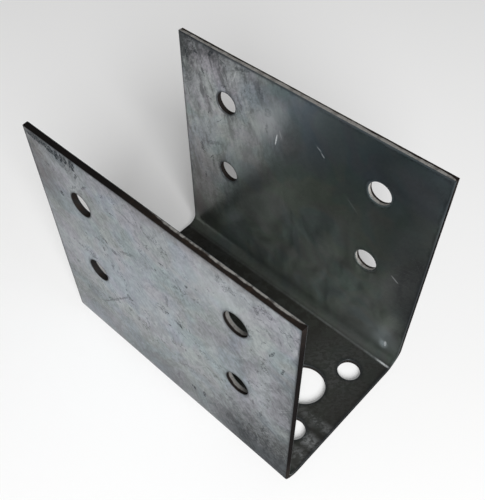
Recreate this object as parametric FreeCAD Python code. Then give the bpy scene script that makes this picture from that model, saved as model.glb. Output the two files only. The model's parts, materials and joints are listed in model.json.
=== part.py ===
import FreeCAD, Part
import math
import os

# U bracket: one galvanised steel sheet, punched and sheared flat, then folded twice into a channel.
# Millimetres. X runs across the channel, Y along the two folds, Z up. The origin is the middle of
# the underside of the base, so the bracket stands on Z = 0 with its flanges upright.

# The sheet and its folds
SHEET_THICKNESS = 2.0
INSIDE_BEND_RADIUS = 4.0

# The channel
INSIDE_WIDTH = 58.0             # between the flanges, for what the bracket holds
LENGTH = 100.0                  # along the folds
HEIGHT = 90.0                   # from the underside of the base to the top edges

# The four screw holes of each flange
FLANGE_HOLE_DIAMETER = 8.0
FLANGE_HOLE_END_MARGIN = 20.0   # from an end of the channel to a hole's centre
FLANGE_HOLE_TOP_MARGIN = 18.0   # from the top edge down to the upper row
FLANGE_ROW_SPACING = 30.0       # from the upper row down to the lower row

# The two anchor holes on the middle line of the base
ANCHOR_HOLE_DIAMETER = 15.0
ANCHOR_HOLE_END_MARGIN = 18.0

# The four screw holes near the corners of the base
BASE_HOLE_DIAMETER = 8.0
BASE_HOLE_END_MARGIN = 10.0
BASE_HOLE_SIDE_MARGIN = 14.0    # from a flange's inner face to a hole's centre

# The shear and the punches enter from the inner side, draw its rims down by this much and leave
# the outer side's rims sharp
RIM_DRAW = 0.2

# Where things lie, from the sizes above
INNER_X = INSIDE_WIDTH / 2
OUTER_X = INNER_X + SHEET_THICKNESS
END_Y = LENGTH / 2
OUTSIDE_BEND_RADIUS = INSIDE_BEND_RADIUS + SHEET_THICKNESS
BEND_X = OUTER_X - OUTSIDE_BEND_RADIUS      # centre line of a fold's arcs, across
BEND_Z = OUTSIDE_BEND_RADIUS                # and up

UPPER_ROW_Z = HEIGHT - FLANGE_HOLE_TOP_MARGIN
LOWER_ROW_Z = UPPER_ROW_Z - FLANGE_ROW_SPACING
FLANGE_HOLE_Y = END_Y - FLANGE_HOLE_END_MARGIN
ANCHOR_HOLE_Y = END_Y - ANCHOR_HOLE_END_MARGIN
BASE_HOLE_X = INNER_X - BASE_HOLE_SIDE_MARGIN
BASE_HOLE_Y = END_Y - BASE_HOLE_END_MARGIN

ACROSS = FreeCAD.Vector(1, 0, 0)
ALONG = FreeCAD.Vector(0, 1, 0)
UP = FreeCAD.Vector(0, 0, 1)
SAME_PLACE = 1e-4               # two places closer than this are one


def section_point(x, z):
    """A point of the channel's section, which is drawn on its front end."""
    return FreeCAD.Vector(x, -END_Y, z)


def fold_arc(side, radius):
    """A quarter of a circle round one fold's centre, from the base up into the flange."""
    middle = radius * math.sin(math.pi / 4)
    return Part.Arc(section_point(side * BEND_X, BEND_Z - radius),
                    section_point(side * (BEND_X + middle), BEND_Z - middle),
                    section_point(side * (BEND_X + radius), BEND_Z))


def line(start, end):
    """A straight stretch of the section between two of its points."""
    return Part.LineSegment(section_point(*start), section_point(*end))


def channel():
    """The folded sheet with no holes: its section, carried along the folds."""
    inner_floor = SHEET_THICKNESS
    stretches = [line((-BEND_X, 0), (BEND_X, 0)),
                 line((-BEND_X, inner_floor), (BEND_X, inner_floor))]
    for side in (-1, 1):
        stretches += [fold_arc(side, OUTSIDE_BEND_RADIUS),
                      fold_arc(side, INSIDE_BEND_RADIUS),
                      line((side * OUTER_X, BEND_Z), (side * OUTER_X, HEIGHT)),
                      line((side * INNER_X, BEND_Z), (side * INNER_X, HEIGHT)),
                      line((side * OUTER_X, HEIGHT), (side * INNER_X, HEIGHT))]
    outline = Part.Wire(Part.__sortEdges__([stretch.toShape() for stretch in stretches]))
    return Part.Face(outline).extrude(ALONG * LENGTH)


def punch(diameter, inner_rim, into_sheet):
    """A round punch that enters at a point of the inner face and passes through the sheet."""
    overshoot = SHEET_THICKNESS
    start = inner_rim - into_sheet * overshoot
    return Part.makeCylinder(diameter / 2, SHEET_THICKNESS + 2 * overshoot, start, into_sheet)


def flange_punches():
    """Four holes in each flange, in two rows."""
    return [punch(FLANGE_HOLE_DIAMETER, FreeCAD.Vector(side * INNER_X, y, z), ACROSS * side)
            for side in (-1, 1)
            for y in (-FLANGE_HOLE_Y, FLANGE_HOLE_Y)
            for z in (LOWER_ROW_Z, UPPER_ROW_Z)]


def base_punches():
    """Two anchor holes on the middle line and a screw hole near each corner of the base."""
    anchor = [punch(ANCHOR_HOLE_DIAMETER, FreeCAD.Vector(0, y, SHEET_THICKNESS), -UP)
              for y in (-ANCHOR_HOLE_Y, ANCHOR_HOLE_Y)]
    screw = [punch(BASE_HOLE_DIAMETER, FreeCAD.Vector(x, y, SHEET_THICKNESS), -UP)
             for x in (-BASE_HOLE_X, BASE_HOLE_X)
             for y in (-BASE_HOLE_Y, BASE_HOLE_Y)]
    return anchor + screw


def on_inner_skin(edge):
    """Whether an edge lies all along the inner side of the sheet: floor, folds or flange faces."""
    def distance(point):
        x, z = abs(point.x), point.z
        if x <= BEND_X:
            return z - SHEET_THICKNESS
        if z >= BEND_Z:
            return x - INNER_X
        return math.hypot(x - BEND_X, z - BEND_Z) - INSIDE_BEND_RADIUS

    return all(abs(distance(point)) < SAME_PLACE for point in edge.discretize(5))


def is_sheared_rim(edge):
    """Whether an edge is where the inner skin meets a sheared end or top edge of the sheet."""
    box = edge.BoundBox
    at_end = abs(abs(box.Center.y) - END_Y) < SAME_PLACE
    at_top = abs(box.ZMin - HEIGHT) < SAME_PLACE
    return on_inner_skin(edge) and (at_end or at_top)


def is_punched_rim(edge):
    """Whether an edge is where the inner skin meets the wall of a hole."""
    return on_inner_skin(edge) and edge.isClosed()


def folded_sheet():
    """The bracket: the channel with its holes punched and its inner rims drawn down.

    A sheared rim is drawn down to a round, a punched rim to a short cone.
    """
    punched = channel().cut(flange_punches() + base_punches())
    sheared = punched.makeFillet(RIM_DRAW, [edge for edge in punched.Edges if is_sheared_rim(edge)])
    return sheared.makeChamfer(RIM_DRAW, [edge for edge in sheared.Edges if is_punched_rim(edge)])


bracket = folded_sheet()
os.makedirs("parts", exist_ok=True)
bracket.exportStep("parts/folded_sheet.step")
print("folded_sheet", "valid", bracket.isValid(), "solids", len(bracket.Solids),
      "faces", len(bracket.Faces), "volume", round(bracket.Volume, 1), "box", bracket.BoundBox)
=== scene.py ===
# %% [markdown]
# # A folded steel U bracket
# The real bracket starts as a flat blank of galvanised sheet. A shear cuts the blank, punches make its
# holes, and a press folds it twice, so that a base stands between two flanges. This lesson makes it in
# the same order: rule the blank, open the holes, give the cut edges their true section, fold, and then
# finish the zinc, the cut steel and the marks that handling leaves.

# %% Load the measured model
import json
import math
from functools import reduce
from types import SimpleNamespace

import bpy
import numpy as np
from mathutils import Matrix, Vector


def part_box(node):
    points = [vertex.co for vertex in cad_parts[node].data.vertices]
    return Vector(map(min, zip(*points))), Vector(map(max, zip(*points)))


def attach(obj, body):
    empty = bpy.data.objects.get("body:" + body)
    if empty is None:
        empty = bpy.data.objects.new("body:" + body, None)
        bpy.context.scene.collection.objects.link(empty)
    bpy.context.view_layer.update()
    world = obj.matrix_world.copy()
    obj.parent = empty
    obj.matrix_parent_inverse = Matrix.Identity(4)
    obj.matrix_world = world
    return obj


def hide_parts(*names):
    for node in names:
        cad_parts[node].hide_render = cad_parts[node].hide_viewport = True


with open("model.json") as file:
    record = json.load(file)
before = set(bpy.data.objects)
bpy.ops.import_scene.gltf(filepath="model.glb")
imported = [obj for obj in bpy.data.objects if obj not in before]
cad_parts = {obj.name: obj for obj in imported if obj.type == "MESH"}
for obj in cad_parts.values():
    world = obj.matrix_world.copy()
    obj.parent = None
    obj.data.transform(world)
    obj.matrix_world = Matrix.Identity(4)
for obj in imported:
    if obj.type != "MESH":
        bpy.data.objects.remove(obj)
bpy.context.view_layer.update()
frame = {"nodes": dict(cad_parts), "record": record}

# %% [markdown]
# ## The sizes
# Nothing is measured twice. The box of the solid gives the bracket's width, length and height, the seat
# says how thick the sheet is, and the lowest point of a flange's flat face says how large the fold is.
# The hole patterns come from the places where screws and anchors go.

# %% Read the sizes of the sheet
MM = 0.001
TOUCHING = 0.01 * MM  # what is closer than this touches
NEUTRAL_SHARE = 0.4  # how deep in a folded sheet the length stays the same, from the inner skin

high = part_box("folded_sheet")[1]
mounts = {mount["name"]: mount for mount in frame["record"]["mounts"]}
points = np.array([vertex.co for vertex in frame["nodes"]["folded_sheet"].data.vertices])

HALF_WIDTH, HALF_LENGTH, HEIGHT = high.x, high.y, high.z
SHEET = mounts["seat"]["pos_m"][2]
OUTER_RADIUS = float(points[points[:, 0] > HALF_WIDTH - TOUCHING, 2].min())
INNER_RADIUS = OUTER_RADIUS - SHEET
FLOOR_HALF = HALF_WIDTH - OUTER_RADIUS
FOLD_RUN = (INNER_RADIUS + NEUTRAL_SHARE * SHEET) * math.pi / 2
BLANK_HALF = FLOOR_HALF + FOLD_RUN + HEIGHT - OUTER_RADIUS
print(f"sheet {SHEET / MM:.1f} mm, inner fold radius {INNER_RADIUS / MM:.1f} mm, "
      f"blank {2 * BLANK_HALF / MM:.1f} by {2 * HALF_LENGTH / MM:.1f} mm")

# %% [markdown]
# A place on the blank has two coordinates: *across*, from the middle of the base out over a fold and up
# a flange, and *along*, parallel to the folds. A hole in a flange is at its height above the fold,
# added to the width of the floor and the run of the fold.

# %% Lay the holes out on the blank
def on_blank(place):
    """Where a place on the folded bracket lies on the blank, as (across, along)."""
    x, y, z = place
    if z < OUTER_RADIUS:
        return x, y
    return math.copysign(FLOOR_HALF + FOLD_RUN + z - OUTER_RADIUS, x), y


def pattern_holes(mount):
    """The holes of one pattern, as (across, along, radius), from its centre and its two spacings."""
    centre, dims = mount["pos_m"], mount["dims"]
    first, second = [axis for axis in range(3) if abs(mount["axis"][axis]) < 0.5]
    holes = set()
    for one in (-0.5, 0.5):
        for other in (-0.5, 0.5):
            place = list(centre)
            place[first] += one * dims.get("spacing_x_mm", 0) * MM
            place[second] += other * dims.get("spacing_y_mm", 0) * MM
            holes.add((*on_blank(place), dims["hole_r_mm"] * MM))
    return sorted(holes)


HOLES = [hole for mount in mounts.values() if mount["kind"] == "bolt_pattern"
         for hole in pattern_holes(mount)]
print(len(HOLES), "holes, radii in mm:", sorted({round(radius / MM, 1) for _, _, radius in HOLES}))

# %% [markdown]
# ## Ruling the blank
# A skin of the sheet is a surface of two parameters, so it can be one grid. Each hole starts as a square
# of the grid, and a wider square round it gives the grid room to bend. The grid has a line along every
# side of those squares, along both folds and close to the cut edges, and equal steps between them.

# %% Rule the grid lines
FINE_STEP = 0.55 * MM  # round the holes and over the folds
COARSE_STEP = 1.6 * MM  # on the plain stretches
EDGE_STEP = 0.6 * MM  # the last row beside a cut edge
HOLE_SQUARE = 0.87  # half the side of a hole's square, as a share of the hole's radius
ROOM = 1.7 * MM  # from a hole's wall to the square where the grid is straight again
SLACK = 0.01  # how much of a step a gap may be over before it gets one step more


def ruled(stops, fine):
    """Lines through all the stops. A gap between two stops is cut into equal steps, short in fine gaps.

    Stops are rounded to a thousandth of a millimetre, so that two that agree become one.
    """
    stops = np.unique(np.round(stops, 6))
    lines = [stops[:1]]
    for start, end in zip(stops[:-1], stops[1:]):
        step = FINE_STEP if fine((start + end) / 2) else COARSE_STEP
        lines.append(np.linspace(start, end, math.ceil((end - start) / step - SLACK) + 1)[1:])
    return np.concatenate(lines)


def hole_stops(axis):
    """The four stops that each hole needs on one axis: both sides of its square and of its room."""
    return [hole[axis] + side * reach for hole in HOLES for side in (-1, 1)
            for reach in (hole[2] * HOLE_SQUARE, hole[2] + ROOM)]


def near_hole(axis):
    """A test for whether a place on one axis is beside any hole."""
    return lambda place: any(abs(place - hole[axis]) < hole[2] + ROOM for hole in HOLES)


def in_fold(place):
    """Whether a place across the blank lies in a fold."""
    return FLOOR_HALF < abs(place) < FLOOR_HALF + FOLD_RUN


fold_stops = [side * place for side in (-1, 1) for place in (FLOOR_HALF, FLOOR_HALF + FOLD_RUN)]
ends_across = [side * (BLANK_HALF - back) for side in (-1, 1) for back in (0, EDGE_STEP)]
ends_along = [side * (HALF_LENGTH - back) for side in (-1, 1) for back in (0, EDGE_STEP)]
beside_hole = near_hole(0)
across_lines = ruled(hole_stops(0) + fold_stops + ends_across,
                     lambda place: in_fold(place) or beside_hole(place))
along_lines = ruled(hole_stops(1) + ends_along, near_hole(1))
ACROSS, ALONG = np.meshgrid(across_lines, along_lines, indexing="ij")
print("grid of", ACROSS.shape, "points")

# %% [markdown]
# ## Opening the holes
# Inside its room, each square ring of the grid turns into a round ring. The map is the concentric one:
# a point keeps its share of the side it lies on, and that share of a quarter turn becomes its angle.
# At the hole's square the ring is the true circle, and at the edge of the room the grid is untouched,
# with a smooth blend between the two.

# %% Bend the grid round the holes and pull it in from the outline
def smooth(share):
    """The smooth step 3s² - 2s³ of a share held between 0 and 1."""
    share = np.clip(share, 0, 1)
    return share * share * (3 - 2 * share)


def round_ring(across, along):
    """The concentric map's direction for each point of a square ring, as (across, along), length 1."""
    steep = np.abs(along) > np.abs(across)
    major, minor = np.where(steep, along, across), np.where(steep, across, along)
    angle = math.pi / 4 * minor / np.maximum(np.abs(major), 1e-12)  # never divided by 0
    major, minor = np.sign(major) * np.cos(angle), np.sin(angle)
    return np.where(steep, minor, major), np.where(steep, major, minor)


def blank_layer(drawn):
    """The grid at one depth of the sheet, with holes and outline drawn back by this many metres.

    Round a hole, p' = w * ring + (1 - w) * p, where ring is the round ring that p's square ring turns
    into, and w falls smoothly from 1 at the hole's square to 0 at the edge of its room.
    """
    across = np.clip(ACROSS, drawn - BLANK_HALF, BLANK_HALF - drawn)
    along = np.clip(ALONG, drawn - HALF_LENGTH, HALF_LENGTH - drawn)
    for centre_across, centre_along, radius in HOLES:
        off_across, off_along = ACROSS - centre_across, ALONG - centre_along
        square = np.maximum(np.abs(off_across), np.abs(off_along))
        side, room = radius * HOLE_SQUARE, radius + ROOM
        weight = smooth((room - square) / (room - side)) * (square < room)
        ring_across, ring_along = round_ring(off_across, off_along)
        reach = square / side * (radius + drawn)
        across = across + weight * (centre_across + ring_across * reach - across)
        along = along + weight * (centre_along + ring_along * reach - along)
    return across, along


def open_cells():
    """Which cells of the grid are sheet: all but those inside a hole's square."""
    middle_across = (ACROSS[1:, 1:] + ACROSS[:-1, :-1]) / 2
    middle_along = (ALONG[1:, 1:] + ALONG[:-1, :-1]) / 2
    sheet = np.ones(middle_across.shape, bool)
    for centre_across, centre_along, radius in HOLES:
        square = np.maximum(np.abs(middle_across - centre_across), np.abs(middle_along - centre_along))
        sheet &= square > radius * HOLE_SQUARE
    return sheet


SHEET_CELLS = open_cells()
print("cells of sheet:", int(SHEET_CELLS.sum()), "cells opened:", int((~SHEET_CELLS).sum()))

# %% [markdown]
# ## The section of a cut edge
# A shear doesn't leave a plain square edge. Where the tool enters, here on the inner side, it rolls the
# rim over. Below that the wall is rubbed bright and straight, and the rest breaks off as a rough, dark
# band that leans back a little. Each depth is one layer of the same grid, drawn back by the right amount.

# %% List the depths and how far the edge is drawn back at each
ROLL = 0.25 * MM  # radius of the rolled rim
BRIGHT_END = 0.85 * MM  # depth where the bright band ends and the broken band starts
LEAN = 0.07 * MM  # how far the broken band leans back
RIM_BREAK = 0.07 * MM  # the last bit that crumbles off at the outer skin
ROUGH = 0.03 * MM  # how ragged the broken band is
ROLL_LAYERS = 5
BROKEN_LAYERS = 4

roll_turn = np.linspace(0, math.pi / 2, ROLL_LAYERS)
broken = np.linspace(BRIGHT_END, SHEET - RIM_BREAK, BROKEN_LAYERS)
DEPTHS = np.concatenate([ROLL * (1 - np.cos(roll_turn)), broken, [SHEET]])
DRAWN = np.concatenate([ROLL * (1 - np.sin(roll_turn)),
                        LEAN * (broken - BRIGHT_END) / (SHEET - BRIGHT_END), [LEAN + RIM_BREAK]])
# the raggedness is full from a third of the way down the broken band
RAGGED = ROUGH * np.clip((DEPTHS - BRIGHT_END) / (SHEET - BRIGHT_END) * 3, 0, 1)
print("layers at depths in mm:", np.round(DEPTHS / MM, 2))

# %% [markdown]
# ## Folding
# The fold is one formula. With *turn* the angle that a place has been bent through, the base keeps its
# place across, an arc of radius *inner radius + depth* carries the sheet up, and what is past the fold
# rises straight. A sheet that is pressed also stays a little uneven, never more than a hair, and its
# ends pull in at the outer side of a fold, where the steel is stretched.

# %% Fold the sheet and let it be slightly uneven
WAVE = 0.11 * MM  # the largest unevenness
PULL = 0.16 * MM  # how far a stretched fold's end pulls in
PULL_REACH = 3.0 * MM  # how far from the end that reaches
SEED = 11
# wavelength across and along in mm, and phase
WAVE_TERMS = [(61, 83, 0.4), (97, 47, 2.1), (38, 71, 4.0), (143, 58, 5.2), (52, 33, 1.3)]


def unevenness(across, along):
    """A share from 0 to 1: half of 1 plus the mean of the sines."""
    total = sum(np.sin(2 * math.pi * (across / (a * MM) + along / (b * MM)) + phase)
                for a, b, phase in WAVE_TERMS)
    return np.clip(0.5 + total / (2 * len(WAVE_TERMS)), 0, 1)


def fold(across, along, depth):
    """Where a place of the blank at some depth lies on the bracket, as x, y, z.

    x = min(|across|, floor) + (inner radius + depth) * sin(turn), with the sign of across
    z = outer radius - (inner radius + depth) * cos(turn) + what is past the fold
    """
    out = np.abs(across)
    turn = np.clip((out - FLOOR_HALF) / FOLD_RUN, 0, 1) * math.pi / 2
    reach = INNER_RADIUS + depth - WAVE * unevenness(across, along)
    x = np.sign(across) * (np.minimum(out, FLOOR_HALF) + reach * np.sin(turn))
    z = OUTER_RADIUS - reach * np.cos(turn) + np.maximum(out - FLOOR_HALF - FOLD_RUN, 0)
    end = smooth(1 - (HALF_LENGTH - np.abs(along)) / PULL_REACH)
    y = along - np.sign(along) * PULL * end * np.sin(2 * turn) * depth / SHEET
    return np.stack([x, y, z], axis=-1)


chance = np.random.default_rng(SEED)
layers = []
for depth, drawn, ragged in zip(DEPTHS, DRAWN, RAGGED):
    layer = blank_layer(drawn + ragged * chance.random(ACROSS.shape))
    layers.append((*layer, depth))
places = np.concatenate([fold(*layer).reshape(-1, 3) for layer in layers])
print("folded box in mm:", np.round(places.min(0) / MM, 2), np.round(places.max(0) / MM, 2))

# %% [markdown]
# ## Closing the shell
# The first and last layers give the two skins, one quad for each cell of sheet. Between one layer and
# the next, each grid edge that has sheet on one side only gives a quad of the cut edge. Together these
# close the shell with no seam, because neighbouring quads share their points.

# %% Make the quads of the skins and of the cut edges
BARE_BELOW = 0.9  # zinc is drawn down over the rolled rim, to this share of its depth
number = np.arange(ACROSS.size).reshape(ACROSS.shape)


def skin_quads(layer, outward):
    """One quad for each cell of sheet in a layer, turned so that it faces outwards."""
    a, b = number[:-1, :-1][SHEET_CELLS], number[1:, :-1][SHEET_CELLS]
    c, d = number[1:, 1:][SHEET_CELLS], number[:-1, 1:][SHEET_CELLS]
    corners = np.stack([a, d, c, b] if outward else [a, b, c, d], axis=1)
    return corners + layer * number.size


def cut_edges():
    """The grid edges with sheet on one side only, each pair of points in the sheet's turning order."""
    padded = np.pad(SHEET_CELLS, 1)
    here = padded[1:-1, 1:-1]
    a, b, c, d = number[:-1, :-1], number[1:, :-1], number[1:, 1:], number[:-1, 1:]
    sides = [(a, b, padded[1:-1, :-2]), (b, c, padded[2:, 1:-1]),
             (c, d, padded[1:-1, 2:]), (d, a, padded[:-2, 1:-1])]
    return np.concatenate([np.stack([start, end], axis=-1)[here & ~beyond] for start, end, beyond in sides])


edges = cut_edges()
starts, ends = edges.T
last = len(DEPTHS) - 1
rim_quads = [np.stack([ends, starts, starts + number.size, ends + number.size], axis=1) + layer * number.size
             for layer in range(last)]
quads = np.concatenate([skin_quads(0, False), skin_quads(last, True), *rim_quads])
is_cut = np.concatenate([np.zeros(2 * int(SHEET_CELLS.sum()), int),
                         np.repeat(DEPTHS[:last] >= ROLL * BARE_BELOW, len(edges))])
used, corners = np.unique(quads, return_inverse=True)
corners = corners.reshape(-1, 4)
print(len(quads), "quads,", len(used), "points,", len(edges), "edges round each layer")

# %% [markdown]
# The finish follows the sheet, not the room, so the mesh also carries its place on the blank as a UV
# map, its depth, which side of the sheet it is on, and how far it is from the nearest cut and from the
# middle of the base. Faces that meet at more than a small angle stay sharp, so that the rolled rims
# don't tilt the shading of the flat skins beside them.

# %% Put the surface and what the finish needs into a mesh
SHARP_ANGLE = 20  # degrees


def cut_distance(across, along):
    """How far each place of the blank is from the outline or the nearest hole's wall, in metres."""
    distance = np.minimum(BLANK_HALF - np.abs(across), HALF_LENGTH - np.abs(along))
    for centre_across, centre_along, radius in HOLES:
        distance = np.minimum(distance, np.hypot(across - centre_across, along - centre_along) - radius)
    return np.maximum(distance, 0)


def mesh_of(name, points, faces):
    """A mesh with these points and four-sided faces, set in whole arrays."""
    mesh = bpy.data.meshes.new(name)
    mesh.vertices.add(len(points))
    mesh.loops.add(faces.size)
    mesh.polygons.add(len(faces))
    mesh.vertices.foreach_set("co", points.astype(np.float32).ravel())
    mesh.loops.foreach_set("vertex_index", faces.astype(np.int32).ravel())
    mesh.polygons.foreach_set("loop_start", np.arange(0, faces.size, 4, dtype=np.int32))
    mesh.update(calc_edges=True)
    return mesh


def new_object(name, data):
    """An object in the scene with this mesh, lamp or camera."""
    thing = bpy.data.objects.new(name, data)
    bpy.context.scene.collection.objects.link(thing)
    return thing


def add_value(name, values):
    """A number for each point of the sheet, which a material reads by its name."""
    sheet_mesh.attributes.new(name, "FLOAT", "POINT").data.foreach_set("value", values.astype(np.float32))


flat_across, flat_along = (np.stack([layer[axis] for layer in layers]).ravel()[used] for axis in (0, 1))
depth_share = np.repeat(DEPTHS / SHEET, number.size)[used]
on_side = np.round(depth_share)  # 0 for the inner side and 1 for the outer one

sheet_mesh = mesh_of("bracket_sheet", places[used], corners)
blank_places = np.stack([flat_across, flat_along], axis=1)[corners.ravel()]
sheet_mesh.uv_layers.new(name="blank").data.foreach_set("uv", blank_places.astype(np.float32).ravel())
add_value("depth", depth_share)
add_value("side", on_side)
add_value("from_cut", cut_distance(flat_across, flat_along) / MM)
add_value("off_middle", np.abs(flat_across) / MM)
sheet_mesh.polygons.foreach_set("material_index", is_cut.astype(np.int32))
sheet_mesh.shade_smooth()
sheet_mesh.set_sharp_from_angle(angle=math.radians(SHARP_ANGLE))
bracket = new_object("bracket_sheet", sheet_mesh)
edge_pairs = np.sort(np.stack([corners, np.roll(corners, -1, axis=1)], axis=-1).reshape(-1, 2), axis=1)
meetings = np.unique(edge_pairs, axis=0, return_counts=True)[1]
print("triangles:", 2 * len(quads), "edges where other than two faces meet:", int((meetings != 2).sum()))

# %% [markdown]
# ## Finishes
# A finish is a small graph of nodes. One helper adds a node and fills or wires its sockets, and a few
# short ones name the steps that come up again and again.

# %% Helpers for node graphs
class Finish:
    """A material's node tree, with short names for the nodes that the finishes use."""

    def __init__(self, name):
        self.material = bpy.data.materials.new(name)
        self.material.use_nodes = True
        self.tree = self.material.node_tree
        self.shader = self.tree.nodes["Principled BSDF"]

    def add(self, kind, sockets, **settings):
        """One node with its settings, and its input sockets wired or filled by position or name."""
        node = self.tree.nodes.new("ShaderNode" + kind)
        for name, value in settings.items():
            setattr(node, name, value)
        for key, value in sockets.items():
            if isinstance(value, bpy.types.NodeSocket):
                self.tree.links.new(value, node.inputs[key])
            else:
                node.inputs[key].default_value = value
        return node

    def math(self, operation, first, second=0.0):
        """One sum on two numbers."""
        return self.add("Math", {0: first, 1: second}, operation=operation).outputs[0]

    def chain(self, operation, values):
        """One operation carried on through all the values."""
        return reduce(lambda first, second: self.math(operation, first, second), values)

    def product(self, *factors):
        """All the factors multiplied together."""
        return self.chain("MULTIPLY", factors)

    def sum(self, *terms):
        """All the terms added together."""
        return self.chain("ADD", terms)

    def most(self, *values):
        """The largest of some numbers."""
        return self.chain("MAXIMUM", values)

    def weighed(self, *pairs):
        """The sum of weight times value over the pairs."""
        return self.sum(*[self.product(value, weight) for weight, value in pairs])

    def rest(self, share):
        """What a share leaves of 1."""
        return self.math("SUBTRACT", 1.0, share)

    def off_half(self, value):
        """How far a noise is above or below its middle value."""
        return self.math("SUBTRACT", value, 0.5)

    def vectors(self, operation, first, second):
        """One sum on two vectors."""
        return self.add("VectorMath", {0: first, 1: second}, operation=operation).outputs[0]

    def ramp(self, value, start, end, low=0.0, high=1.0):
        """A smooth change from low to high while the value goes from start to end."""
        if start > end:
            start, end, low, high = end, start, high, low
        sockets = {"Value": value, "From Min": start, "From Max": end, "To Min": low, "To Max": high}
        return self.add("MapRange", sockets, interpolation_type="SMOOTHSTEP").outputs["Result"]

    def between(self, share, low, high):
        """A smooth change from low to high while the share goes from 0 to 1."""
        return self.ramp(share, 0.0, 1.0, low, high)

    def mix(self, share, first, second, blend="MIX"):
        """A colour between two colours, or the first one tinted by the second."""
        sockets = {0: share, 6: first, 7: second}
        return self.add("Mix", sockets, data_type="RGBA", blend_type=blend).outputs[2]

    def layered(self, colour, *layers):
        """The colour under some layers, each a share and a colour of its own."""
        for share, over in layers:
            colour = self.mix(share, colour, over)
        return colour

    def noise(self, vector, size, detail=3.0, roughness=0.55):
        """Cloudy noise whose patches are about this many metres across."""
        sockets = {"Vector": vector, "Scale": 1 / size, "Detail": detail, "Roughness": roughness}
        return self.add("TexNoise", sockets, noise_dimensions="2D").outputs["Fac"]

    def bent(self, vector, size, reach):
        """The vector pushed about by noise of this size, so that what is drawn on it bends and frays."""
        push = self.add("TexNoise", {"Vector": vector, "Scale": 1 / size, "Detail": 2.0},
                        noise_dimensions="2D").outputs["Color"]
        push = self.vectors("SUBTRACT", push, (0.5, 0.5, 0.5))
        return self.vectors("ADD", vector, self.vectors("MULTIPLY", push, (2 * reach, 2 * reach, 0)))

    def stretched(self, vector, angle, length, width):
        """The vector turned by an angle in degrees and squeezed, so that noise on it makes streaks."""
        turned = self.add("VectorRotate", {"Vector": vector, "Angle": -math.radians(angle)},
                          rotation_type="Z_AXIS").outputs[0]
        return self.vectors("MULTIPLY", turned, (1 / length, 1 / width, 1 / length))

    def streaked(self, vector, angle, length, width, detail, roughness):
        """Noise drawn out into streaks of this length and width, at this angle."""
        return self.noise(self.stretched(vector, angle, length, width), 1.0, detail, roughness)

    def strokes(self, vector, angle, length, width, share):
        """Single strokes at chance places: the cells of a squeezed Voronoi pattern, near their points.

        A share of the cells has one. A cell is about 4 times as long and as wide as its stroke.
        """
        squeezed = self.stretched(vector, angle, 4 * length, 4 * width)
        cells = self.add("TexVoronoi", {"Vector": squeezed, "Scale": 1.0}, voronoi_dimensions="2D").outputs
        chances = self.add("SeparateXYZ", {0: cells["Color"]}).outputs
        kept = self.math("LESS_THAN", chances[0], share)
        close = self.ramp(cells["Distance"], 0.15, 0.07)
        return self.product(close, kept, self.between(chances[1], 0.35, 1.0))

    def scribbles(self, vector, size, thin):
        """Fine ragged lines, where a noise of this size passes its middle value."""
        off_middle = self.off_half(self.noise(vector, size, detail=4, roughness=0.7))
        return self.ramp(self.math("ABSOLUTE", off_middle), thin, thin / 3)

    def mark(self, vector, side, across, along, angle, length, width, strength):
        """One sharp mark at a place on the blank, in mm and degrees."""
        centre = (across * MM + side * SIDES_APART, along * MM, 0)
        off_centre = self.vectors("SUBTRACT", vector, centre)
        own = self.stretched(off_centre, angle, length / 2 * MM, width / 2 * MM)
        reach = self.add("VectorMath", {0: own}, operation="LENGTH").outputs["Value"]
        return self.ramp(reach, 1.0, 0.7, 0.0, strength)

    def value(self, name):
        """A number that the mesh carries."""
        return self.add("Attribute", {}, attribute_name=name).outputs["Fac"]

    def on_sheet(self):
        """The place on the blank, with the outer side of the sheet moved clear of the inner side."""
        place = self.add("SeparateXYZ", {0: self.add("UVMap", {}, uv_map="blank").outputs[0]}).outputs
        moved = self.sum(place[0], self.product(self.value("side"), SIDES_APART))
        return self.add("CombineXYZ", {0: moved, 1: place[1]}).outputs[0]

    def set(self, **sockets):
        """Wires or fills the shader's own sockets, whose names use _ for a space."""
        for name, value in sockets.items():
            socket = self.shader.inputs[name.replace("_", " ")]
            if isinstance(value, bpy.types.NodeSocket):
                self.tree.links.new(value, socket)
            else:
                socket.default_value = value


# %% [markdown]
# ### Marks at their places
# Most of the wear can fall where chance puts it, but some marks belong to a place: the dark corner of
# the right flange, the pale patch beside it, a few bright scratches, the scuffed upper corner of the left
# flange. Some placed marks are painted light and shade: shade low on the left flange, in a fold and over
# parts of the right flange, a highlight where the folds start and a glint on the right flange's fold.
# Each is one ellipse on the blank, given in millimetres and degrees, and its angle is that of its
# length against the line across the blank. The broad ones are worked out at the points of the mesh, and
# the fine ones in the finish, where they can be sharper than the grid.

# %% List the broad marks
INNER, OUTER = 0, 1
SIDES_APART = 0.337  # how far the finish's space moves the outer side clear of the inner, in metres
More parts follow.
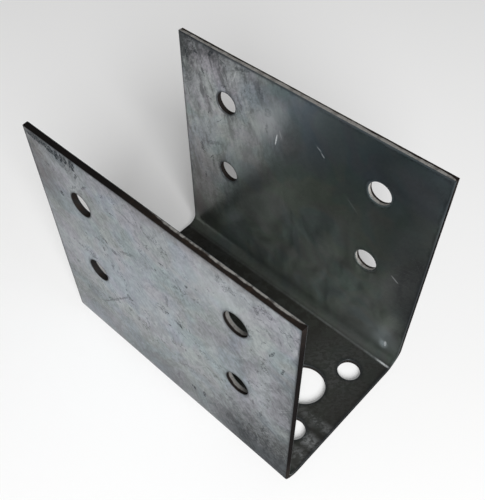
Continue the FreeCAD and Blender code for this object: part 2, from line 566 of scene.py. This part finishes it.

# side, across, along, angle, length, width, strength
# darker places: soot, and painted shade where a row says so
SOOT_AND_SHADE_MARKS = [
    (INNER, 117, 47.5, 10, 34, 15, 2),  # the dark back corner of the right flange
    (INNER, 115, 36, -88, 44, 12, 0.8),  # smears under its top edge
    (INNER, 106, 46, 0, 40, 18, 0.6),
    (INNER, 113, 12, -86, 30, 12, 0.4),
    (INNER, 66, 22, -36, 100, 15, 0.6),  # painted shade where the pale third turns dark
    (INNER, 100, 3, -14, 34, 14, 0.6),
    (INNER, 55, 21, -45, 74, 16, 0.45),
    (INNER, 38, 47, -80, 34, 30, 1),
    (INNER, 110, -48, -88, 60, 26, 0.8),  # painted shade down its front end
    (INNER, 68, -52, 4, 96, 56, 1.3),
    (INNER, 29.5, 10, -90, 120, 9, 0.4),  # painted shade in the fold below it
    (INNER, 0, 40, -90, 80, 70, 0.6),  # the back of the base
    (OUTER, -116, 40, -84, 50, 20, 0.9),  # the scuffed back corner of the left flange
    (OUTER, -106, 50, -4, 76, 44, 0.75),
    (OUTER, -104, 24, -60, 26, 14, 0.4),
    (OUTER, -84, -30, -40, 54, 44, 0.35),
    (OUTER, -74, -50, 4, 84, 30, 0.8),
    (OUTER, -38, -46, -86, 100, 84, 1.3),  # painted shade at its lower front corner
    # painted shade along its whole foot
    (OUTER, -32, -6, -90, 160, 90, 0.5),
    (OUTER, -50, 44, -74, 80, 50, 0.5),
]
BROWNED = [
    (OUTER, -104, 46, -6, 40, 16, 0.35),
    (OUTER, -115.5, -15, -90, 80, 5, 0.6),
    (INNER, 62, 44, 5, 60, 24, 0.5),
    (INNER, 47, 47, 0, 50, 12, 0.5),
]
# rubbed places, with the painted glint and its glow among them
RUBBED_PALE_AND_GLINT = [
    (INNER, 100, 13, -30, 34, 15, 0.5),  # the pale patch of the right flange
    (INNER, 88, 23, -30, 60, 24, 0.2),
    (INNER, 86, 36, -60, 40, 26, 0.2),
    (INNER, 71, 45, 4, 22, 8, 0.35),
    (INNER, 67, 42, 0, 44, 26, 0.25),
    # painted glint: a bright spot and the glow round it, on the right flange's fold at the front
    (INNER, 33.5, -43.5, -85, 8, 9, 0.9),  # the middle of the painted glint
    (INNER, 36, -42, -65, 22, 17, 0.5),
    (INNER, -15, -46, -90, 18, 8, 0.7),  # the rubbed front of the base
    (INNER, -8, -47, -90, 40, 6, 0.4),
    (INNER, -21, -48, -90, 16, 8, 0.5),
    (INNER, -9, -42, -60, 14, 9, 0.25),
    (INNER, 8, -36, -90, 44, 60, 0.14),
    (OUTER, -104, -24, -70, 60, 28, 0.3),
    (OUTER, -80, 8, -60, 50, 26, 0.15),
]
# where the right flange is smeared up and down
SMEARED = [
    (INNER, 104, 34, 0, 84, 84, 1.2),
    (INNER, 72, 42, 0, 90, 54, 1),
]
# painted highlight: a bright line where the fold starts, for the lamp mirrored in the crease, most of all at
# the front
CREASE_HIGHLIGHTS = [
    (INNER, 25, -50, -90, 34, 20, 0.9),
    (INNER, 25, -20, -90, 90, 20, 0.25),
]
# where chance strokes crowd together
SCUFFED = [
    (OUTER, -114, 36, -77, 44, 16, 1),
    (OUTER, -82, 22, -70, 50, 34, 0.9),
    (OUTER, -100, -6, -60, 60, 34, 1),
    (OUTER, -75, -6, -60, 40, 20, 1),
    (OUTER, -46, -32, -90, 50, 34, 1),
    (OUTER, -90, -38, 0, 44, 20, 0.8),
    (INNER, 108, 42, 0, 40, 40, 0.35),
]

# %% [markdown]
# The fine marks are scratches on the inner side, which bare the zinc, one of them a painted glint, and
# dark ticks, specks and strokes, most of them on the left flange's outer side, with a string of them
# under its top edge.

# %% List the fine marks
# across, along, angle, length, width, strength
BRIGHT_SCRATCHES_AND_GLINT = [
    (96, 8.6, -8, 5.5, 0.6, 0.75),
    (99, 7, 22, 4, 0.5, 0.3),
    (102, -7.8, 57, 2.6, 0.5, 0.4),
    # painted glint on the right flange's fold at the front
    (34, -44.3, 5, 3.5, 1.2, 0.6),
    (100.4, -9.4, 50, 2.2, 0.5, 0.5),
    (68.4, -41.3, 59, 4, 0.6, 0.4),
    (88, -22, 50, 8, 0.35, 0.2),
    (111, 26, -20, 6, 0.5, 0.4),
]
OUTER_TICKS = [
    (-114.3, 29.2, 5, 5, 2.8, 1),  # the string of marks under the left flange's top edge
    (-114.2, 32, 10, 3.2, 2.2, 0.95),
    (-114, 33.6, 10, 3.6, 2.1, 1),
    (-113.9, 35.8, 15, 4, 2.6, 1),
    (-114.4, 38.8, -80, 6, 3, 1),
    (-114.9, 44.5, -88, 11, 2.6, 0.9),
    (-110.6, 28.6, 20, 3.8, 1.1, 0.85),
    (-108.2, 25.9, 45, 4.4, 1, 0.6),
    (-104.5, 31.5, 50, 6, 1, 0.5),
    (-97.2, 39, 0, 1.8, 1.4, 0.85),  # single specks
    (-98.4, -12.6, 20, 1.7, 1.2, 0.8),
    (-75.2, -7.8, -40, 2.6, 1.5, 0.8),
    (-76.4, 0, -75, 3, 1.1, 0.7),
    (-83, -3.2, 5, 7, 1.2, 0.5),  # strokes across the middle
    (-91.6, 12, 62, 8, 1.7, 0.5),
    (-109, 9, -75, 9, 0.8, 0.35),
    (-87.2, 18.4, -70, 3.6, 2.2, 0.6),
    (-89.8, 21.6, -50, 2.6, 1.2, 0.6),
    (-75.2, 31, -60, 4, 1.8, 0.5),
    (-66.8, 16, -20, 3.2, 2.2, 0.6),
    (-57.5, 24.7, 43, 28, 1, 0.55),  # the long thin one
    (-97.7, -42, 25, 5, 1, 0.75),  # the front end
    (-93.4, -45.6, 12, 3.6, 1, 0.8),
    (-83.5, -45, 0, 3, 1.8, 0.5),
    (-61.8, -39, 5, 4.2, 1.1, 0.6),
    (-53, -40, 4, 7.5, 0.9, 0.7),
    (-48.4, -42.2, 5, 2.6, 1.8, 0.8),
    (-43.4, -37.5, 8, 5, 1.6, 0.8),  # oil drawn down to the fold
    (-42.2, -25.5, 0, 5, 2.4, 0.7),
    (-43, -15.2, 5, 5, 1.5, 0.85),
    (-41.6, -10.4, -50, 3.2, 1.8, 0.9),
    (-41.5, -3.4, 8, 5, 1.4, 0.6),
]
INNER_TICKS = [
    (112, 43, -70, 2.4, 1.2, 0.9),  # the pale third of the right flange
    (110, 47, 5, 6, 1.2, 0.7),
    (106.5, 40, 10, 3, 1.2, 0.7),
    (114.6, 36, -40, 4.6, 1.4, 0.8),
    (114.8, 23, -75, 7.5, 1.3, 0.6),
    (110.3, 15.2, 25, 5, 1.7, 0.45),
    (104.4, 12.3, -20, 4.4, 3, 0.35),
    (98.2, 12.6, 5, 5, 1.4, 0.4),
    (78.2, 36.8, -66, 9, 2, 0.4),
    (73.4, 42.4, 5, 4.6, 1.6, 0.65),
    (69, 37.3, 2, 6.5, 1.1, 0.5),
]
DARK_TICKS = [(side, *tick) for side, ticks in ((OUTER, OUTER_TICKS), (INNER, INNER_TICKS))
              for tick in ticks]
print(len(BRIGHT_SCRATCHES_AND_GLINT), "bright scratches,", len(DARK_TICKS), "dark ticks")

# %% [markdown]
# A point's distance from an ellipse's centre, taken along and across the ellipse and divided by its half
# sizes, is 1 all round its rim, where a mark has faded out. Where marks overlap, the strongest counts.

# %% Work out how strongly each point is marked
def broad_marks(rows):
    """How strongly each point is marked. A strength over 1 makes an ellipse's full middle wider."""
    strongest = np.zeros(len(flat_across))
    for side, across, along, angle, length, width, strength in rows:
        off_across, off_along = flat_across / MM - across, flat_along / MM - along
        turn = math.radians(angle)
        lengthways = off_across * math.cos(turn) + off_along * math.sin(turn)
        sideways = off_along * math.cos(turn) - off_across * math.sin(turn)
        reach = np.hypot(lengthways / (length / 2), sideways / (width / 2))
        strongest = np.maximum(strongest, strength * (1 - smooth(reach)) * (on_side == side))
    return np.minimum(strongest, 1)


for name, rows in (("sooty", SOOT_AND_SHADE_MARKS), ("browned", BROWNED), ("rubbed", RUBBED_PALE_AND_GLINT), ("smeared", SMEARED),
                   ("scuffed", SCUFFED), ("pressed", CREASE_HIGHLIGHTS)):
    add_value(name, broad_marks(rows))
    print(f"{name}: {len(rows)} broad marks")
# the outer side of the right flange has been handled less, so its finish is plainer
add_value("plainer", smooth(flat_across / FLOOR_HALF) * on_side)

# %% [markdown]
# ### The patterns of dulled zinc
# Galvanised sheet is steel with a thin skin of zinc that has dulled. Most of its look comes from a few
# noises, laid on the blank and not on the folded shape, so that a smear runs on over a fold as it does
# on the sheet. Bending the place by another noise first turns the same noise into frayed patches, torn
# marks or long sweeps. From here on, f is the finish that is being made and p holds its patterns.

# %% Lay the patterns that the zinc is mixed from
MIDDLE = (0.38, 0.62)  # the span that most of a noise lies in
CLOUD = 26 * MM  # from one slow change of tone to the next
PATCH = 5 * MM  # the width of a patch
CRUMB = 0.7 * MM  # the gaps that break a mark up
# the size of the noise that bends a pattern, and how far it pushes
FRAYED = (1.6 * MM, 0.35 * MM)
TORN = (1.1 * MM, 0.65 * MM)
SWEPT = (24 * MM, 8 * MM)
# angle, length, width, detail and roughness of a streaked noise
MOTTLE = (-40, 1.8 * MM, 1.1 * MM, 3, 0.70)
FINE_SMEAR = (14, 5.5 * MM, 1.7 * MM, 4, 0.68)
BROAD_SMEAR = (14, 16 * MM, 5 * MM, 3, 0.60)
BASE_REACH = (29, 24)  # mm off the middle, where the base's finish fades out and where it is full


def zinc_patterns(f):
    """The places, sides and noises that the steps below share, each a socket of the finish."""
    p = SimpleNamespace(sheet=f.on_sheet(), outer=f.value("side"), off_middle=f.value("off_middle"))
    p.inner = f.rest(p.outer)
    p.base = f.product(f.ramp(p.off_middle, *BASE_REACH), p.inner)
    p.calm = f.product(p.inner, f.rest(f.value("smeared")))
    p.lively = f.product(f.between(p.calm, 1.0, 0.15), f.between(f.value("plainer"), 1.0, 0.5))
    p.frayed, p.torn, p.swept = (f.bent(p.sheet, *bend) for bend in (FRAYED, TORN, SWEPT))
    p.clouds = f.ramp(f.noise(p.swept, CLOUD), *MIDDLE)
    p.patches = f.ramp(f.noise(p.frayed, PATCH, detail=5, roughness=0.66), 0.40, 0.62)
    p.mottle = f.ramp(f.streaked(p.sheet, *MOTTLE), *MIDDLE)
    p.smear = f.weighed((0.5, f.streaked(p.frayed, *FINE_SMEAR)), (0.5, f.streaked(p.swept, *BROAD_SMEAR)))
    p.broken = f.ramp(f.noise(p.sheet, CRUMB, detail=2), 0.42, 0.52)
    return p


# %% [markdown]
# ### The colour of the zinc
# The tone drifts between a dark and a pale zinc in clouds, patches and mottles, which are faint on the
# calm inner side, where nothing is smeared. Thin bluish, olive and mauve tints lie over it. The calm side
# also keeps a film of oil, which tints it cool near the top edge and olive lower down.

# %% Mix the colour
PALE_ZINC = (0.380, 0.404, 0.426, 1)
DARK_ZINC = (0.178, 0.196, 0.208, 1)
BLUISH = (0.84, 0.94, 1.0, 1)
OLIVE = (0.96, 1.0, 0.92, 1)
MAUVE = (1.0, 0.92, 0.98, 1)
TINTS = [(BLUISH, 17 * MM), (OLIVE, 23 * MM), (MAUVE, 9 * MM)]  # each with the size of its noise
HIGH_FILM = (0.87, 0.97, 0.98, 1)
LOW_FILM = (0.95, 1.0, 0.86, 1)
FILM_TURN = (88, 106)  # mm off the middle, between which the low film turns into the high one
WARM = (1.0, 0.97, 0.955, 1)  # over the smeared part of the inner side


def clouded(f, p):
    """The zinc's own colour, with its tints and its film."""
    tone = f.weighed((0.2, p.clouds), (0.4, p.patches), (0.4, p.mottle))
    tone = f.sum(f.product(f.off_half(tone), p.lively), 0.5)
    colour = f.mix(tone, DARK_ZINC, PALE_ZINC)
    for tint, size in TINTS:
        share = f.ramp(f.noise(p.swept, size, detail=2), 0.45, 0.60, 0.0, 0.7)
        colour = f.mix(share, colour, tint, "MULTIPLY")
    film = f.mix(f.ramp(p.off_middle, *FILM_TURN), LOW_FILM, HIGH_FILM)
    colour = f.mix(p.calm, colour, film, "MULTIPLY")
    return f.mix(f.product(p.inner, f.value("smeared")), colour, WARM, "MULTIPLY")


# %% [markdown]
# ### Smears, soot, painted shade and rubbed places
# Handling smears the sheet up and down the flanges, dark where dirt is drawn out and pale where it is
# wiped off. The base is darkened all over. The broad marks from the list above come last, painted shade
# and a painted glint among them, each broken up by the same patches and mottles as the zinc under it.

# %% Lay the broad marks over the colour
# the colour of soot and of the painted shade in the broad marks
SOOT_SHADE_COLOUR = (0.050, 0.053, 0.054, 1)
BROWN = (0.150, 0.118, 0.110, 1)
# pale rubbed zinc, also the colour of the painted crease highlight and glint
PALE_RUB_AND_HIGHLIGHT = (0.54, 0.56, 0.57, 1)
BASE_DARK_COLOUR = (0.050, 0.048, 0.043, 1)
GLINT_TINT_REACH = (54, 46)  # mm off the middle, where the bluish tint of the painted glint at a flange's foot ends and where it is full


def soiled(f, p, colour):
    """The colour under smears, the base's darkening and broad marks, with painted shade and a painted glint
    among them. Keeps in p how strong they are.
    """
    smeared = f.most(f.value("smeared"), f.product(p.outer, f.ramp(p.clouds, 0.2, 0.9, 0.05, 0.22)))
    dirty = f.product(f.ramp(p.smear, 0.50, 0.60), smeared, 0.60)
    wiped = f.product(f.ramp(p.smear, 0.47, 0.38), smeared, 0.30)
    # the base is darkened all over
    grime = f.product(p.base, f.between(p.patches, 0.97, 0.88))
    colour = f.layered(colour, (dirty, SOOT_SHADE_COLOUR), (wiped, PALE_RUB_AND_HIGHLIGHT), (grime, BASE_DARK_COLOUR))

    spotted = f.weighed((0.5, p.patches), (0.5, p.mottle))
    spots = f.ramp(spotted, 0.1, 0.8, 0.0, f.between(p.outer, 0.4, 0.22))
    uneven = f.rest(f.product(spots, f.most(p.lively, f.product(p.base, 2.0))))
    soot, browned, rubbed = (f.product(f.value(name), uneven) for name in ("sooty", "browned", "rubbed"))
    colour = f.layered(colour, (soot, SOOT_SHADE_COLOUR), (browned, BROWN), (rubbed, PALE_RUB_AND_HIGHLIGHT))
    # painted glint: the glint and its glow at the foot of the right flange are tinted bluish
    glint_tint = f.product(rubbed, p.inner, f.rest(p.base), f.ramp(p.off_middle, *GLINT_TINT_REACH))
    p.smeared, p.grime, p.soot, p.rubbed = smeared, grime, soot, rubbed
    return f.mix(glint_tint, colour, BLUISH, "MULTIPLY")


# %% [markdown]
# ### Scuffs, scratches, dirt, and painted highlights and shade
# Stacking leaves short dark strokes that follow long curves, and scribbles where two sheets chafed. They
# crowd in the scuffed places and are few elsewhere. Along the outer side of a fold an oily strip is
# drawn out upwards in teeth. Scratches are bright, and most of them are hairlines. A bright line where a
# fold starts is a painted highlight, and one placed scratch is a painted glint. Dirt catches along every
# cut, and a narrow line of painted shade at the rim itself hides the rims' highlights.

# %% Draw the fine marks
SCUFF_AND_RIM_SHADE = (0.024, 0.028, 0.032, 1)
# angle, length, width and the share of places that have one
STROKES = [(-32, 3.6 * MM, 0.60 * MM, 0.22), (-68, 3.0 * MM, 0.60 * MM, 0.18),
           (-95, 2.4 * MM, 0.65 * MM, 0.12), (-50, 1.2 * MM, 0.90 * MM, 0.25)]
HAIRLINES = [(angle, 7 * MM, 0.22 * MM, 0.4) for angle in (38, -20, -74)]
SCRIBBLE = (2.6 * MM, 0.05)  # the size of its curls and how thick its line is, as a share of the noise
CLUSTER = 6 * MM
STRIP_EDGE = (47, 41)  # mm off the middle, where the oily strip ends and where it is full
TEETH = 40  # how far its teeth reach, in mm for a full change of the smears
# the painted highlight along the crease, where a fold starts
CREASE_HIGHLIGHT_LINE = (0.8, 0.1)  # mm off the start of the fold, where the line ends and where it is full
FRINGE = (1.8, 0)  # mm from a cut, where the loose dirt ends and where it is full
RIM_SHADE_LINE = (0.9, 0.2, 0, 0.8)  # the same for the narrow line of painted shade at the rim, which hides the rims' highlights, and its strength at each


def dark_scuffs(f, p):
    """How scuffed each place is: chance strokes, clusters of scribbles, placed ticks and the oily strip."""
    crowd = f.most(f.value("scuffed"), f.ramp(p.clouds, 0.45, 0.8, 0.3, 0.7))
    crowd = f.product(crowd, f.between(p.calm, 1.0, 0.1), f.between(f.value("plainer"), 1.0, 0.4))
    strokes = f.product(f.most(*[f.strokes(p.swept, *row) for row in STROKES]), crowd, p.broken)
    in_cluster = f.ramp(f.noise(p.frayed, CLUSTER, detail=3), 0.56, 0.64)
    clusters = f.product(f.scribbles(p.torn, *SCRIBBLE), in_cluster, f.between(p.broken, 0.35, 1.0), crowd,
                         f.between(p.outer, 0.35, 1.0))
    ticks = f.product(f.most(*[f.mark(p.torn, *row) for row in DARK_TICKS]), f.between(p.broken, 0.5, 1.0))
    teeth = f.sum(p.off_middle, f.product(f.off_half(p.smear), TEETH))
    strip = f.product(f.ramp(teeth, *STRIP_EDGE), p.outer, f.value("sooty"), 0.6)
    return f.most(strokes, clusters, ticks, strip)


def bright_scratches_and_highlights(f, p):
    """How much each place is scratched and highlit: hairlines, a painted highlight where a fold starts, and
    placed scratches, one of them a painted glint.
    """
    hairlines = f.most(*[f.strokes(p.sheet, *row) for row in HAIRLINES])
    hairlines = f.product(hairlines, f.between(p.calm, 0.28, 0.06), p.broken)
    off_line = f.math("ABSOLUTE", f.math("SUBTRACT", p.off_middle, FLOOR_HALF / MM))
    pressed = f.product(f.ramp(off_line, *CREASE_HIGHLIGHT_LINE), p.inner, f.most(f.value("pressed"), 0.1),
                        f.ramp(p.smear, 0.3, 0.6, 0.4, 1.0))
    return f.most(hairlines, pressed, *[f.mark(p.sheet, INNER, *row) for row in BRIGHT_SCRATCHES_AND_GLINT])


def rim_dirt_and_shade(f, p):
    """How dark the borders of the cuts are: a loose fringe of dirt, and a narrow full line of painted shade
    at the rim itself.
    """
    from_cut = f.value("from_cut")
    fringe = f.product(f.ramp(from_cut, *FRINGE), f.ramp(p.smear, 0.42, 0.56), 0.7)
    return f.most(fringe, f.ramp(from_cut, *RIM_SHADE_LINE))


# %% [markdown]
# ### What still mirrors
# Zinc is a metal, so clean zinc mirrors the room, and only dirt, wear and the painted shade and highlights
# are matte. The inner side carries a film that is a little matte too, in blotches and more so low on the
# flange. The roughness follows the patches, and a fine grain across the folds breaks the reflections up.

# %% Put the zinc together
BLOTCH = (3, 11 * MM, 4.5 * MM, 4, 0.62)
GRAIN = (0, 2.4 * MM, 0.22 * MM, 3, 0.70)
GRAIN_HEIGHT = 0.02 * MM
FILM_SHARE = 0.078  # how matte the film is near the top edge, apart from its blotches
# ramps over the mm off the middle: from, to, and the value at each
BLOTCHINESS = (100, 60, 0.03, 0.14)
FILM_GROWTH = (104, 45, 1.0, 2.3)
FILM_START = (26, 40, 0.3, 1.0)


def matte_film(f, p):
    """How matte the film on the calm inner side is."""
    blotches = f.off_half(f.streaked(p.swept, *BLOTCH))
    film = f.sum(f.product(blotches, f.ramp(p.off_middle, *BLOTCHINESS)), FILM_SHARE)
    return f.product(p.calm, film, f.rest(p.base), f.ramp(p.off_middle, *FILM_GROWTH),
                     f.ramp(p.off_middle, *FILM_START))


def zinc():
    """Dulled zinc with everything that lies on it."""
    f = Finish("dulled_zinc")
    p = zinc_patterns(f)
    colour = soiled(f, p, clouded(f, p))
    scuffs, scratches_and_highlights, dirt_and_shade = dark_scuffs(f, p), bright_scratches_and_highlights(f, p), rim_dirt_and_shade(f, p)
    # the scratches bring the painted crease highlight and glint, and the rim line brings painted shade
    colour = f.layered(colour, (scuffs, SCUFF_AND_RIM_SHADE), (scratches_and_highlights, PALE_RUB_AND_HIGHLIGHT), (dirt_and_shade, SCUFF_AND_RIM_SHADE))

    matte = f.most(scuffs, f.product(scratches_and_highlights, p.inner), f.product(dirt_and_shade, dirt_and_shade), f.product(p.grime, 0.3),
                   f.product(p.soot, f.between(p.outer, 0.3, 0.8)),
                   f.product(p.rubbed, f.between(p.outer, 0.45, 0.1)), matte_film(f, p))
    uneven = f.off_half(f.weighed((0.6, p.patches), (0.4, p.mottle)))
    dullness = f.sum(f.product(uneven, p.lively, 0.09), f.between(p.calm, 0.34, 0.30),
                     f.product(f.math("SUBTRACT", p.smear, 0.4), p.smeared, 0.12))
    grain = f.add("Bump", {"Height": f.streaked(p.sheet, *GRAIN), "Strength": 0.25, "Distance": GRAIN_HEIGHT})
    f.set(Base_Color=colour, Metallic=f.rest(matte), Roughness=dullness, Normal=grain.outputs[0],
          Specular_IOR_Level=0.0)
    return f.material


dulled_zinc = zinc()
print("nodes in the dulled zinc:", len(dulled_zinc.node_tree.nodes))

# %% [markdown]
# ### Cut steel
# The cut shows bare steel. Near the rolled rim it is rubbed bright, and below an uneven line it is broken
# and rough, with the first brown rust. The punch's oil has stayed on the walls of most holes. The back of
# the left flange's top edge, the front ends of both flanges and the front of the base are painted black
# all through, as painted shade. The right flange's top edge carries a painted highlight, made as a rubbed
# band, and the front holes of both flanges are rubbed, the left ones under a little oil.

# %% Mix the cut steel
BRIGHT_STEEL = (0.42, 0.41, 0.39, 1)
BROKEN_STEEL = (0.022, 0.018, 0.016, 1)
OILED_STEEL = (0.022, 0.021, 0.021, 1)
RUST = (0.036, 0.025, 0.019, 1)
OIL_AND_SHADE_BLACK = (0.008, 0.007, 0.007, 1)
BROKEN_LINE = BRIGHT_END / SHEET  # where the bright band ends, as a share of the sheet
LINE_WANDER = 5 * MM  # from one swing of that line to the next
DRAG = 2.5 * MM
SPECK = 0.6 * MM
SPECK_HEIGHT = 0.06 * MM


def cut_steel():
    """A bright band that turns at an uneven line into a dark, rough one."""
    f = Finish("cut_steel")
    depth, burnished = f.value("depth"), f.value("burnished")
    blackened, punched = f.value("blackened"), f.value("punched")
    flat = f.add("UVMap", {}, uv_map="blank").outputs[0]
    place = f.vectors("ADD", flat, f.add("CombineXYZ", {0: f.product(depth, SHEET)}).outputs[0])
    speck = f.noise(place, SPECK, detail=3, roughness=0.7)
    drag = f.noise(place, DRAG, detail=4, roughness=0.6)

    wander = f.product(f.off_half(f.noise(flat, LINE_WANDER, detail=5)), 0.5)
    # the painted highlight on the right flange's top edge, like the rubbing on the front holes, moves the cut
    # into its bright band
    darkness = f.math("SUBTRACT", f.sum(depth, wander, f.most(blackened, punched)), burnished)
    share = f.ramp(darkness, BROKEN_LINE - 0.10, BROKEN_LINE + 0.05)
    dragged = f.product(f.ramp(drag, 0.45, 0.66, 0.0, 0.75), f.rest(f.product(burnished, 2.0)))
    bright = f.mix(dragged, BRIGHT_STEEL, BROKEN_STEEL)
    broken = f.mix(f.ramp(drag, 0.48, 0.62, 0.0, 0.6), BROKEN_STEEL, RUST)
    oiled = f.product(punched, f.ramp(drag, 0.40, 0.60))
    specks = f.ramp(speck, 0.55, 0.72, 0.0, 0.5)
    # painted shade: the shaded stretches of cut go nearly black and less metallic, as do the oily left front
    # walls
    colour = f.layered(f.mix(share, bright, broken), (oiled, OILED_STEEL), (specks, BROKEN_STEEL),
                       (f.product(blackened, 0.95), OIL_AND_SHADE_BLACK))
    bump = f.add("Bump", {"Height": speck, "Strength": 0.6, "Distance": SPECK_HEIGHT})
    f.set(Base_Color=colour, Metallic=f.between(blackened, 0.55, 0.1), Roughness=f.between(share, 0.38, 0.70),
          Normal=bump.outputs[0], Specular_IOR_Level=0.0)
    return f.material


bare_steel = cut_steel()
print("nodes in the cut steel:", len(bare_steel.node_tree.nodes))

# %% [markdown]
# The painted shade in black, the painted highlight, the rubbing and the oil on the cuts are again a number
# at each point. Stretches of the edge are marks like those on the zinc, on both sides of the sheet, and
# the walls of the holes are found by distance.

# %% Say where the cut steel carries painted shade, a painted highlight, rubbing and oil
# across, along, angle, length, width
# painted shade: stretches of cut darkened where the lamp lights the front ends and the base's front rim, and
# along the back of the left flange's top edge
SHADED_STRETCHES = [
    (-116.5, 34, -90, 90, 20),  # the back of the left flange's top edge
    (-75, -50, 0, 120, 3),  # the front ends of the two flanges
    (75, -50, 0, 120, 3),
    (0, -50, -90, 12, 90),  # the front of the base
]
# painted highlight: the right flange's top edge is made bright like a rubbed band
HIGHLIT_STRETCH = (116.5, 0, -90, 200, 20)  # the right flange's top edge
RIGHT_BACK_OIL = 0.7  # the right flange's back holes, against 1 for other oily walls
LEFT_FRONT_OIL, LEFT_FRONT_RUB = 0.7, 0.9
RIGHT_FRONT_RUB = 0.2


def on_both_sides(place, strength):
    """The rows for one stretch of edge, as a mark on either side of the sheet."""
    return [(side, *place, strength) for side in (INNER, OUTER)]


def beside_holes():
    """1 at the walls of the holes and 0 away from them."""
    nearest = np.min([np.hypot(flat_across - across, flat_along - along) - radius
                      for across, along, radius in HOLES], axis=0)
    return 1 - smooth(nearest / ROOM)


walls = beside_holes()
in_left_flange, in_right_flange = flat_across < -FLOOR_HALF, flat_across > FLOOR_HALF
left_front = walls * in_left_flange * (flat_along < 0)
right_front = walls * in_right_flange * (flat_along < 0)
oiled = (walls - left_front - right_front) * np.where(in_right_flange, RIGHT_BACK_OIL, 1.0)
shade_on_cuts = broad_marks([row for place in SHADED_STRETCHES for row in on_both_sides(place, 2.0)])
rubbed = broad_marks(on_both_sides(HIGHLIT_STRETCH, 0.3))
rubbed_walls = LEFT_FRONT_RUB * left_front + RIGHT_FRONT_RUB * right_front
add_value("blackened", np.maximum(shade_on_cuts, LEFT_FRONT_OIL * left_front))
add_value("burnished", np.maximum(rubbed, rubbed_walls))
add_value("punched", oiled)
print("points on the walls of holes or near them:", int((walls > 0).sum()))

# %% [markdown]
# Each face already has the number of its finish, 0 for zinc and 1 for cut steel, so the two only have to
# be added in that order.

# %% Give the bracket its finishes and its place in the frame
for material in (dulled_zinc, bare_steel):
    sheet_mesh.materials.append(material)
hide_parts("folded_sheet")
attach(bracket, "root")
print("finishes:", [material.name for material in sheet_mesh.materials])

# %% [markdown]
# ## The room
# The bracket stands on a wide pale floor under one large soft lamp, with a dim room round it. Metal
# shows what is round it, so the pale floor is what makes the flanges' outer faces pale, and the space
# between the flanges, which mostly sees itself, stays dark.

# %% Make the floor, the lamp and the world
FLOOR_SIZE = 6.0
FLOOR_COLOUR = (0.92, 0.92, 0.92, 1)
SHOWN_SHARE = 0.20  # how much of the floor's white is its own, when seen or mirrored
LAMP_PLACE = (-0.60, -0.74, 0.76)
LAMP_SIZE = 0.7
LAMP_POWER = 22.0
ROOM_COLOUR = (0.10, 0.099, 0.096, 1)


def floor_finish():
    """Pale paint that is seen, and mirrored in metal, as white that still takes the shadow."""
    f = Finish("floor_paint")
    f.set(Base_Color=FLOOR_COLOUR, Roughness=0.9, Specular_IOR_Level=0.0)
    path = f.add("LightPath", {}).outputs
    shown = f.most(*[path[f"Is {kind} Ray"] for kind in ("Camera", "Glossy", "Transmission")])
    glow = f.add("Emission", {"Color": (1, 1, 1, 1), "Strength": 1.0})
    both = f.add("MixShader", {0: f.product(shown, SHOWN_SHARE), 1: f.shader.outputs[0], 2: glow.outputs[0]})
    f.tree.links.new(both.outputs[0], f.tree.nodes["Material Output"].inputs["Surface"])
    return f.material


half = FLOOR_SIZE / 2
floor_points = np.array([[-half, -half, 0], [half, -half, 0], [half, half, 0], [-half, half, 0]])
floor = new_object("floor", mesh_of("floor", floor_points, np.array([[0, 1, 2, 3]])))
floor.data.materials.append(floor_finish())

lamp = new_object("soft_lamp", bpy.data.lights.new("soft_lamp", "AREA"))
lamp.data.shape, lamp.data.size, lamp.data.energy = "DISK", LAMP_SIZE, LAMP_POWER
lamp.location = LAMP_PLACE
lamp.rotation_euler = (-Vector(LAMP_PLACE)).to_track_quat("-Z", "Y").to_euler()

world = bpy.data.worlds.new("dim_room")
world.use_nodes = True
background = world.node_tree.nodes["Background"].inputs
background["Color"].default_value = ROOM_COLOUR
background["Strength"].default_value = 1.0
bpy.context.scene.world = world
bpy.context.scene.view_settings.view_transform = "Standard"
print("floor, lamp and world made")

# %% [markdown]
# ## The camera
# The camera stands where the picture was taken from: close, high and to the left of the front, and
# turned a little about its own axis.

# %% Place the camera
CAMERA_PLACE = Vector((-0.0972, -0.0950, 0.2130))
CAMERA_AIM = Vector((0.0001, 0.0035, 0.0300))
CAMERA_ROLL = -2.42  # degrees, anticlockwise
LENS = 49.24  # millimetres, as is the film's length
FILM_LENGTH = 36.0
FRAME_SHIFT = (0.03, 0.06)
NEAREST_SEEN = 0.01  # metres

camera = new_object("camera", bpy.data.cameras.new("camera"))
camera.data.lens, camera.data.sensor_width = LENS, FILM_LENGTH
camera.data.shift_x, camera.data.shift_y = FRAME_SHIFT
camera.data.clip_start = NEAREST_SEEN
aim = (CAMERA_AIM - CAMERA_PLACE).to_track_quat("-Z", "Y")
camera.rotation_euler = (aim.to_matrix() @ Matrix.Rotation(math.radians(CAMERA_ROLL), 3, "Z")).to_euler()
camera.location = CAMERA_PLACE
bpy.context.scene.camera = camera
print("camera at", [round(c / MM, 1) for c in CAMERA_PLACE], "mm")
